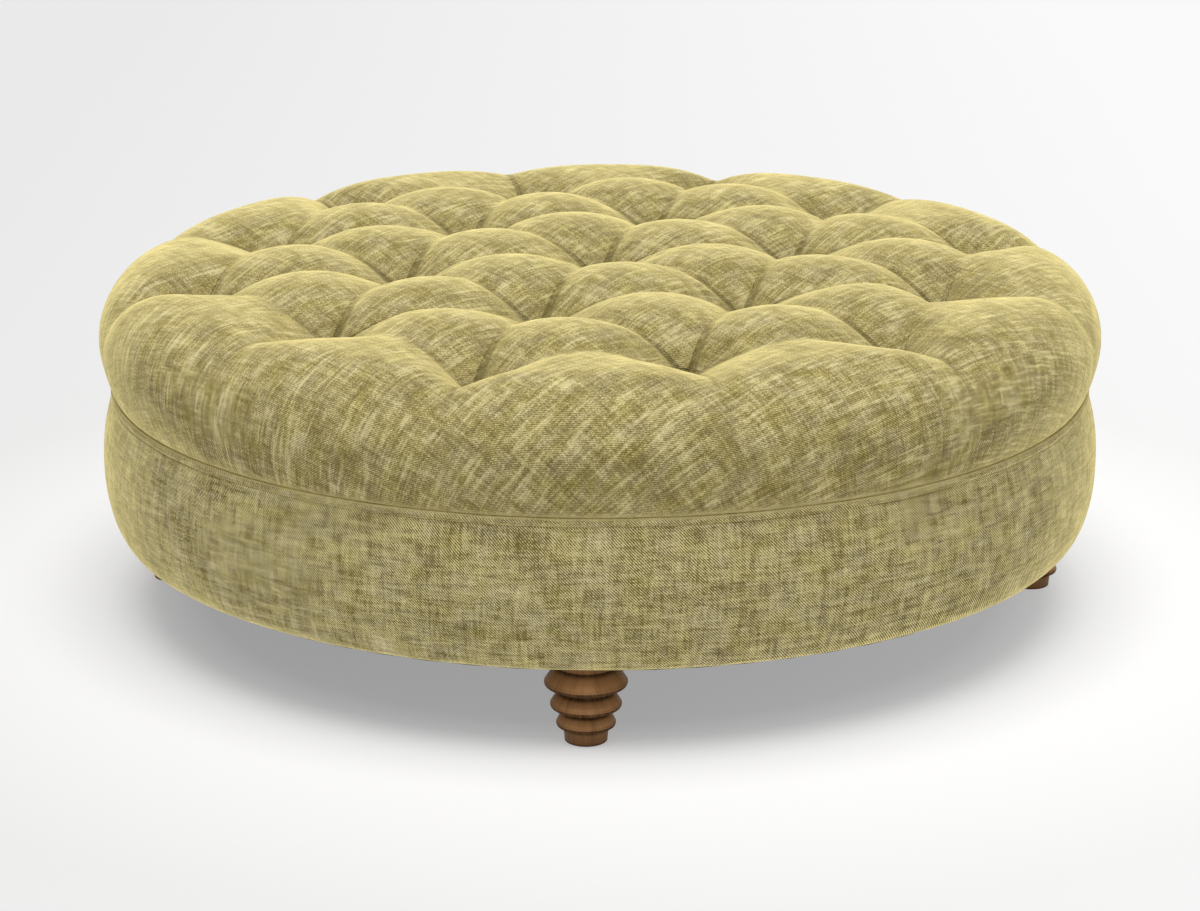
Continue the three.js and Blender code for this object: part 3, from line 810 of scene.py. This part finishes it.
def held_points(piece, cushion):
    """Numbers of the points that the tufts and the waist hold while the cushion fills."""
    tufts = tuft_points(cushion)
    held = {vert.index for vert in piece.data.vertices if vert.co.z < cushion.waist + NEAR}
    layer = piece.data.uv_layers["cloth"].data
    for loop in piece.data.loops:
        if min((layer[loop.index].uv - tuft).length for tuft in tufts) < NEAR:
            held.add(loop.vertex_index)
    return sorted(held)


def fill_with_air(piece, cushion, held, start, outwards):
    """Cloth simulation: the cover swells under pressure while the tufts and the waist hold it."""
    mesh = piece.data
    group = piece.vertex_groups.new(name="held")
    group.add(held, 1.0, "REPLACE")
    cloth = piece.modifiers.new("Filling", "CLOTH")
    settings = cloth.settings
    settings.quality = 6
    settings.mass = 0.3
    settings.tension_stiffness = settings.compression_stiffness = 15
    settings.shear_stiffness = 5
    settings.bending_stiffness = 0.5
    settings.vertex_group_mass = "held"
    settings.use_pressure = True
    settings.uniform_pressure_force = cushion.pressure
    settings.shrink_min = -0.03
    settings.effector_weights.gravity = 0
    cloth.collision_settings.use_collision = False
    cloth.collision_settings.use_self_collision = False
    scene = bpy.context.scene
    frames = 20
    cloth.point_cache.frame_start = 1
    cloth.point_cache.frame_end = frames
    for step in range(1, frames + 1):
        scene.frame_set(step)
    settled = piece.evaluated_get(bpy.context.evaluated_depsgraph_get()).data
    places = [vert.co.copy() for vert in settled.vertices]
    piece.modifiers.remove(cloth)
    rim_share, unevenness = 0.15, 0.5
    for vert, before, after, normal in zip(mesh.vertices, start, places, outwards):
        move = after - before
        move -= normal * min(0.0, move.dot(normal))
        side = min(1.0, max(0.0, (cushion.radius - before.xy.length) / cushion.edge_width))
        uneven = 1 + unevenness * noise.noise(before * 4)
        most = cushion.swell * (rim_share + (1 - rim_share) * side) * uneven
        if move.length > 1e-7:
            move *= most * math.tanh(move.length / most) / move.length
        vert.co = before + move
    scene.frame_set(1)
    piece.vertex_groups.remove(group)


def pinch_creases(piece, cushion, start, outwards):
    """Draws in narrow creases from tuft to tuft, and notes how much painted shade the pits and
    creases get.
    """
    mesh = piece.data
    fold_shade = mesh.attributes.new("fold_shade", "FLOAT", "POINT")
    normals = [vert.normal.copy() for vert in mesh.vertices]
    pinches = [item.value for item in mesh.attributes["pinch"].data]
    sinks = [item.value for item in mesh.attributes["sink"].data]
    unevenness, pinch_shade_share, pit_power = 0.7, 0.3, 1.6
    for vert, normal, pinch, drop in zip(mesh.vertices, normals, pinches, sinks):
        uneven = 1 + unevenness * noise.noise(vert.co * 6)
        vert.co -= normal * pinch * cushion.pinch * uneven
        under = (vert.co - start[vert.index]).dot(outwards[vert.index])
        vert.co -= outwards[vert.index] * min(0.0, under)
        # Painted shade: the deeper the pit and the stronger the pinch, the darker the point.
        pit = max(0.0, drop / cushion.depth) ** pit_power
        fold_shade.data[vert.index].value = min(1.0, pinch_shade_share * pinch + pit)


class FOOTSTOOL_OT_cushion(bpy.types.Operator):
    """Make the tufted cushion"""

    bl_idname = "footstool.cushion"
    bl_label = "Tufted cushion"

    def execute(self, context):
        """Wraps, fills and finishes the cover."""
        cushion = context.scene.footstool_cushion
        cloth = context.scene.footstool_cloth
        finish = velvet(
            "cushion_velvet", cloth, ribs=0.14, knotty=0.5, coarse=1.36, calm=0.165,
            turn=cushion.bias, wear=cloth.worn,
        )
        piece = finish_piece("tufted_cushion", wrap_cloth(cushion), finish)
        start = [vert.co.copy() for vert in piece.data.vertices]
        outwards = [vert.normal.copy() for vert in piece.data.vertices]
        fill_with_air(piece, cushion, held_points(piece, cushion), start, outwards)
        pinch_creases(piece, cushion, start, outwards)
        smooth = piece.modifiers.new("Smooth", "SUBSURF")
        smooth.levels = smooth.render_levels = 1
        thicken(piece, cushion.cloth)
        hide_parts("top_cover")
        return {"FINISHED"}


# Band and piping


def band_outline(band):
    """Outer outline of the band, from under the base up to the piping."""
    corner = Vector((band.radius - band.corner_width, band.widest))
    bottom, top = BAND_LOW.z, BAND_HIGH.z
    turned_under, flat, turned_in = 0.1, 0.01, 0.015
    points = [
        Vector((band.radius - turned_under, bottom)), Vector((corner.x - flat, bottom)),
    ]
    points += arc(corner, band.corner_width, band.widest - bottom, -math.pi / 2, 0, 14)
    neck = Vector((band.radius - band.top_inset, top - band.top_round))
    points += bezier(points[-1], Vector((band.radius, (band.widest + top) / 2)), neck, 12)
    lip = top + band.lip
    points += bezier(neck, Vector((neck.x, lip)), Vector((neck.x - band.top_round, lip)), 5)
    points.append(Vector((neck.x - turned_in, top)))
    return points


class FOOTSTOOL_OT_band(bpy.types.Operator):
    """Make the upholstered band"""

    bl_idname = "footstool.band"
    bl_label = "Upholstered band"

    def execute(self, context):
        """Turns the band, makes it a little uneven and finishes it."""
        band = context.scene.footstool_band
        cloth = context.scene.footstool_cloth
        outline = band_outline(band)
        bm = turned_mesh(outline, band.columns)
        map_turned(bm, "cloth", band.radius, lambda vert: vert.co.z)
        for vert in bm.verts:
            away = Vector((vert.co.x, vert.co.y, 0)).normalized()
            wave = noise.noise(Vector((vert.co.x * 7, vert.co.y * 7, vert.co.z * 16)))
            vert.co += away * wave * band.ripple
        piece = finish_piece("band_velvet", bm, velvet("band_velvet", cloth))
        thicken(piece, band.cloth)
        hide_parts("band_cover")
        strip = Path(outline).length
        steps = zip(outline, outline[1:])
        area = sum(TURN * (a.x + b.x) / 2 * (b - a).length for a, b in steps)
        return {"FINISHED"}


class FOOTSTOOL_OT_piping(bpy.types.Operator):
    """Make the piping between cushion and band"""

    bl_idname = "footstool.piping"
    bl_label = "Piping"

    def execute(self, context):
        """Turns a covered cord, a little uneven, and paints its upper side pale as painted light.
        """
        piping = context.scene.footstool_piping
        cloth = context.scene.footstool_cloth
        middle = Vector((piping.radius, WELT_HIGH.z - piping.cord))
        ring = arc(middle, piping.cord, piping.cord, 0, TURN, piping.sides)
        bm = turned_mesh(ring, piping.columns, closed=True)

        def lean(vert):
            """The angle of a point round the cord."""
            return math.atan2(vert.co.z - middle.y, vert.co.xy.length - middle.x)

        map_turned(bm, "cloth", piping.radius, lambda vert: piping.cord * lean(vert))
        # Painted light: the cord's upper side is painted pale, most at the lean where light catches
        # it.
        painted_light = bm.verts.layers.float.new("painted_light")
        lit_lean, lit_width, least, unevenness = TURN / 5.5, 0.8, 0.3, 0.0006
        for vert in bm.verts:
            near = max(0.0, 1 - abs(lean(vert) - lit_lean) / lit_width)
            vert[painted_light] = least + (1 - least) * near
            vert.co.z += noise.noise(polar(9, angle_of(vert.co), 3)) * unevenness
        piece = finish_piece("piping", bm, velvet("piping_velvet", cloth))
        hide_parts("welt")
        return {"FINISHED"}


# Feet and underside


def foot_outline(foot):
    """Outline of a turned foot from the floor up, with how much painted shade lies at each point.
    """
    plate = FOOT_HIGH.z
    base_low = FOOT_LOW.z
    chamfer, neck_round, shoulder_turn, seat_gap = 0.0005, 0.0012, 0.9, 0.0004
    outline = [
        (Vector((0.0, base_low)), 0.6),
        (Vector((foot.base_radius - chamfer, base_low)), 0.9),
        (Vector((foot.base_radius, base_low + chamfer)), 0.9),
    ]
    # How much wider the plain base is at each height, and its painted shade there
    base_side = (
        (0.0001, base_low + 0.0018, 0.75),
        (0.0002, base_low + 0.0032, 0.55),
        (foot.base_flare * 0.9, foot.base_height - 0.002, 0.5),
        (foot.base_flare, foot.base_height, 0.7),
    )
    for wider, height, painted_shade in base_side:
        outline.append((Vector((foot.base_radius + wider, height)), painted_shade))
    rims = (0.0325, 0.039, 0.0455)
    levels = (0.022, 0.0437, 0.069)
    necks = (0.024, 0.028, 0.031)
    neck_levels = (0.0335, 0.0565, 0.086)
    for rim, level, neck, neck_level in zip(rims, levels, necks, neck_levels):
        start = outline[-1][0]
        under = Vector((rim - foot.rim_round, level - foot.rim_depth))
        # Painted shade: dark under each rim, light on its shoulder, darkening up the slope to the
        # neck under the next bead.
        for point in bezier(start, Vector((start.x, under.y)), under, 8):
            outline.append((point, 0.95))
        centre = Vector((rim - foot.rim_round, level))
        for point in arc(centre, foot.rim_round, foot.rim_depth, -math.pi / 2, 0, 5):
            outline.append((point, 0.9))
        for point in arc(centre, foot.rim_round, foot.rim_round, 0, shoulder_turn, 3):
            outline.append((point, 0.2))
        last = outline[-1][0]
        high = Vector((neck + neck_round, neck_level))
        bow = last.lerp(high, 0.5) + Vector((neck_round, neck_round))
        slope = bezier(last, bow, high, 8)
        for index, point in enumerate(slope):
            share = (index + 1) / len(slope)
            outline.append((point, max(0.0, share - 0.7) * 3))
        outline.append((Vector((neck, neck_level + neck_round)), 0.95))
    outline += [
        (Vector((foot.plate_radius, plate - foot.plate_height)), 0.6),
        (Vector((foot.plate_radius, plate - seat_gap)), 0.3),
        (Vector((0.0, plate - seat_gap)), 0.3),
    ]
    return outline


def paint_groove_shade(bm, outline):
    """Paints shade on the points of a turned foot, and tells which step of the outline each is on.
    """
    groove = bm.verts.layers.float.new("groove")
    places = [(point.x, point.y) for point, _ in outline]
    steps = {}
    for vert in bm.verts:
        reach, height = vert.co.xy.length, vert.co.z
        steps[vert] = min(
            range(len(places)),
            key=lambda step: abs(places[step][0] - reach) + abs(places[step][1] - height),
        )
        vert[groove] = outline[steps[vert]][1]
    return steps


class FOOTSTOOL_OT_feet(bpy.types.Operator):
    """Make the turned feet"""

    bl_idname = "footstool.feet"
    bl_label = "Turned feet"

    def execute(self, context):
        """Turns a foot for each corner, with shade painted under its rims and in its grooves."""
        foot = context.scene.footstool_foot
        outline = foot_outline(foot)
        points = [point for point, _ in outline]
        lengths = Path(points).marks
        wood = turned_wood()
        for name in FEET:
            bm = turned_mesh(points, foot.sides)
            steps = paint_groove_shade(bm, outline)
            map_turned(bm, "turning", 1 / TURN, lambda vert: lengths[steps[vert]])
            middle = box_middle(name)
            turn_points(bm, bm.verts, angle_of(middle))
            bmesh.ops.translate(bm, verts=bm.verts, vec=(middle.x, middle.y, 0))
            piece = finish_piece(name.replace("foot", "turned_foot"), bm, wood)
            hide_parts(name)
        return {"FINISHED"}


def dust_sheet(under, low, high, feet):
    """A round cloth with a hole round each foot, drawn up at its staples."""
    radius = (high.x - low.x) / 2
    # The puckers at the staples need a finer mesh near the edge
    edge, edge_steps, middle_steps = 0.12, 15, 12
    middle = radius - edge
    reaches = [middle * step / middle_steps for step in range(middle_steps)]
    reaches += [middle + edge * step / edge_steps for step in range(edge_steps + 1)]
    bm = turned_mesh([Vector((reach, low.z)) for reach in reaches], under.columns)
    cut, hem = 0.85 * under.hole, 0.001
    inside = [
        vert for vert in bm.verts if min((vert.co.xy - foot).length for foot in feet) < cut
    ]
    bmesh.ops.delete(bm, geom=inside, context="VERTS")
    pucker_height, pucker_reach, lowered = 0.0003, 0.02, 0.0005
    foot_reach, edge_reach = 0.08, 0.2
    for vert in bm.verts:
        foot = min(feet, key=lambda place: (vert.co.xy - place).length)
        if vert.is_boundary and vert.co.xy.length < radius - hem:
            vert.co.xy = foot + (vert.co.xy - foot).normalized() * under.hole
        inwards = radius - vert.co.xy.length
        round_staples = 1 + math.cos(angle_of(vert.co) * under.staples)
        pucker = pucker_height * round_staples * math.exp(-inwards / pucker_reach)
        from_hole = (vert.co.xy - foot).length - under.hole
        loose = max(0.0, min(1.0, from_hole / foot_reach, inwards / edge_reach))
        wave = noise.noise(Vector((vert.co.x * 5, vert.co.y * 5, 1)))
        vert.co.z += pucker - lowered - under.sag * loose * (0.6 + wave)
    if sum(face.normal.z for face in bm.faces) > 0:
        bmesh.ops.reverse_faces(bm, faces=bm.faces)
    return bm


def staple_row(under, low, high):
    """Wire staples that lie round the edge of the cloth."""
    bm = bmesh.new()
    reach = (high.x - low.x) / 2 - under.staple_inset
    most_lean = 0.12
    for number in range(under.staples):
        made = bmesh.ops.create_cube(bm, size=1)["verts"]
        bmesh.ops.scale(bm, verts=made, vec=(under.wire * 1.2, under.crown, under.wire))
        edges = list({edge for vert in made for edge in vert.link_edges})
        bevelled = bmesh.ops.bevel(
            bm, geom=edges, offset=under.wire * 0.3, segments=2, profile=0.5, affect="EDGES",
            material=-1,
        )["verts"]
        lean = most_lean * math.sin(number * 2.4)
        turn = TURN * number / under.staples
        turn_points(bm, bevelled, turn + lean)
        place = polar(reach, turn, low.z - under.wire * 0.4)
        bmesh.ops.translate(bm, verts=bevelled, vec=place)
    bmesh.ops.recalc_face_normals(bm, faces=bm.faces)
    return bm


class FOOTSTOOL_OT_underside(bpy.types.Operator):
    """Make the dust cloth and its staples"""

    bl_idname = "footstool.underside"
    bl_label = "Dust cloth"

    def execute(self, context):
        """Stretches the cloth under the base and staples it."""
        under = context.scene.footstool_underside
        low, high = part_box("dust_cover")
        feet = [box_middle(name).xy for name in FEET]
        finish = plain_cloth("dust_cloth", (0.006, 0.006, 0.007), (0.03, 0.03, 0.032), 0.0009)
        bm = dust_sheet(under, low, high, feet)
        piece = finish_piece("dust_cloth", bm, finish)
        thicken(piece, high.z - low.z)
        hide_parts("dust_cover")
        staples = staple_row(under, low, high)
        finish_piece("dust_cloth_staples", staples, zinc_steel())
        return {"FINISHED"}


class FOOTSTOOL_OT_inside(bpy.types.Operator):
    """Finish the frame, the filling and the fixings"""

    bl_idname = "footstool.inside"
    bl_label = "Frame and filling"

    def execute(self, context):
        """Gives each kept piece of the frame its finish."""
        ply = ((0.42, 0.29, 0.15), (0.66, 0.5, 0.3), 0.3, 0.0018)
        timber = ((0.3, 0.18, 0.08), (0.5, 0.33, 0.17), 0.22)
        finishes = {
            "top_wadding": plain_cloth("wadding", (0.7, 0.69, 0.66), (0.88, 0.87, 0.84), 0.0015),
            "top_foam": plain_cloth("foam", (0.62, 0.55, 0.36), (0.84, 0.79, 0.6), 0.0012),
            "band_padding": plain_cloth("band_foam", (0.6, 0.53, 0.36), (0.82, 0.77, 0.6), 0.0012),
            "tuft_tie": plain_cloth("twine", (0.4, 0.34, 0.22), (0.66, 0.6, 0.44), 0.0006, 0.7),
            "tack_strip": plain_cloth("card", (0.4, 0.33, 0.22), (0.52, 0.44, 0.3), 0.0008, 0.85),
            "band_hoop": board("bent_ply", (0.4, 0.27, 0.14), (0.6, 0.44, 0.26), 0.3),
            "top_deck": board("ply_board", *ply),
            "base_board": board("base_ply", *ply),
            "deck_rail": board("hardwood", *timber),
            "stud": board("stud_wood", *timber),
            "foot_block": board("block_wood", *timber),
            "tee_nut": zinc_steel(),
            "glide": nylon(),
        }
        finishes["hanger_bolt"] = finishes["tee_nut"]
        for name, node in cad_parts.items():
            kind = next((key for key in finishes if name.startswith(key)), None)
            if kind is None and not node.hide_render:
                raise RuntimeError(f"{name} has no finish")
            if kind:
                node.data.materials.clear()
                node.data.materials.append(finishes[kind])
        return {"FINISHED"}


# Stage


def place_camera(scene, stage):
    """Places the camera by its distance, height, turn and tilt."""
    data = bpy.data.cameras.new("camera")
    data.lens = stage.lens
    data.sensor_width = 36
    data.clip_end = 60
    camera = add_object("camera", data)
    camera.location = (
        stage.distance * math.sin(stage.azimuth),
        -stage.distance * math.cos(stage.azimuth),
        stage.height,
    )
    camera.rotation_euler = (math.pi / 2 - stage.pitch, 0, stage.azimuth)
    scene.camera = camera


def floor_paint(stage):
    """Pale paint with a glow of its own, which grows to one side and round the feet."""
    material, tree, shader = new_material("floor_paint", 0.9)
    place = piece_place(tree)
    across = add_node(tree, "ShaderNodeSeparateXYZ", {
        "Vector": scaled(tree, place, (1, 1, 1), -stage.azimuth),
    }).outputs["X"]
    glow = spread(tree, across, -1.1, 1.1, stage.glow - 0.06, stage.glow + 0.07)
    reach = add_node(
        tree, "ShaderNodeVectorMath", {0: place}, operation="LENGTH"
    ).outputs["Value"]
    rise, fall = spread(tree, reach, 0.48, 0.57), spread(tree, reach, 0.68, 1.0, 1.0, 0.0)
    near = combine(tree, "MULTIPLY", rise, fall)
    glow = weighted(tree, ((near, stage.halo), (glow, 1.0)))
    shader.inputs["Base Color"].default_value = (*stage.floor, 1)
    shader.inputs["Specular IOR Level"].default_value = 0.1
    shader.inputs["Emission Color"].default_value = (1, 1, 1, 1)
    tree.links.new(glow, shader.inputs["Emission Strength"])
    return material


def lay_floor(stage):
    """Lays a floor that reaches well past the view."""
    bm = bmesh.new()
    bmesh.ops.create_grid(bm, x_segments=4, y_segments=4, size=30)
    mesh_object("floor", bm, floor_paint(stage))


def hang_lamp(stage):
    """Hangs one wide light overhead, which leans a little."""
    data = bpy.data.lights.new("overhead", "SUN")
    data.angle = stage.key_spread
    data.energy = stage.key_power
    lamp = add_object("overhead", data)
    lamp.location = (0, 0, 3)
    lamp.rotation_euler = (math.radians(8), 0, stage.azimuth)


def light_surround(scene, stage):
    """Sets a pale surround and its strength."""
    world = bpy.data.worlds.new("surround")
    scene.world = world
    world.use_nodes = True
    background = world.node_tree.nodes["Background"]
    background.inputs["Color"].default_value = (1, 1, 1, 1)
    background.inputs["Strength"].default_value = stage.world
    scene.view_settings.view_transform = "Standard"


class FOOTSTOOL_OT_stage(bpy.types.Operator):
    """Set up floor, light and camera"""

    bl_idname = "footstool.stage"
    bl_label = "Stage"

    def execute(self, context):
        """Places the camera, lays the floor and hangs the light."""
        stage = context.scene.footstool_stage
        place_camera(context.scene, stage)
        lay_floor(stage)
        hang_lamp(stage)
        light_surround(context.scene, stage)
        return {"FINISHED"}


class FOOTSTOOL_PT_panel(bpy.types.Panel):
    """Lists the steps that dress the footstool"""

    bl_idname = "FOOTSTOOL_PT_panel"
    bl_label = "Footstool"
    bl_space_type = "VIEW_3D"
    bl_region_type = "UI"
    bl_category = "Footstool"

    def draw(self, context):
        """Shows each group of settings over its step."""
        for key, (_, step) in SETTINGS.items():
            box = self.layout.box()
            group = getattr(context.scene, key)
            for name in group.bl_rna.properties.keys():
                if name not in ("rna_type", "name"):
                    box.prop(group, name)
            if step:
                box.operator(step)
        self.layout.operator("footstool.inside")


SETTINGS = {
    "footstool_cloth": (ClothSettings, None),
    "footstool_cushion": (CushionSettings, "footstool.cushion"),
    "footstool_band": (BandSettings, "footstool.band"),
    "footstool_piping": (PipingSettings, "footstool.piping"),
    "footstool_foot": (FootSettings, "footstool.feet"),
    "footstool_underside": (UndersideSettings, "footstool.underside"),
    "footstool_stage": (StageSettings, "footstool.stage"),
}
OPERATORS = (
    FOOTSTOOL_OT_stage,
    FOOTSTOOL_OT_cushion,
    FOOTSTOOL_OT_band,
    FOOTSTOOL_OT_piping,
    FOOTSTOOL_OT_feet,
    FOOTSTOOL_OT_underside,
    FOOTSTOOL_OT_inside,
)


def register():
    """Registers the settings, the operators and the panel."""
    for key, (group, _) in SETTINGS.items():
        bpy.utils.register_class(group)
        setattr(bpy.types.Scene, key, PointerProperty(type=group))
    for operator in OPERATORS:
        bpy.utils.register_class(operator)
    bpy.utils.register_class(FOOTSTOOL_PT_panel)


def unregister():
    """Removes what register added."""
    bpy.utils.unregister_class(FOOTSTOOL_PT_panel)
    for operator in reversed(OPERATORS):
        bpy.utils.unregister_class(operator)
    for key, (group, _) in reversed(SETTINGS.items()):
        delattr(bpy.types.Scene, key)
        bpy.utils.unregister_class(group)


def main():
    """Makes every piece in order."""
    register()
    for operator in OPERATORS:
        family, action = operator.bl_idname.split(".")
        getattr(getattr(bpy.ops, family), action)()


if __name__ == "__main__":
    main()
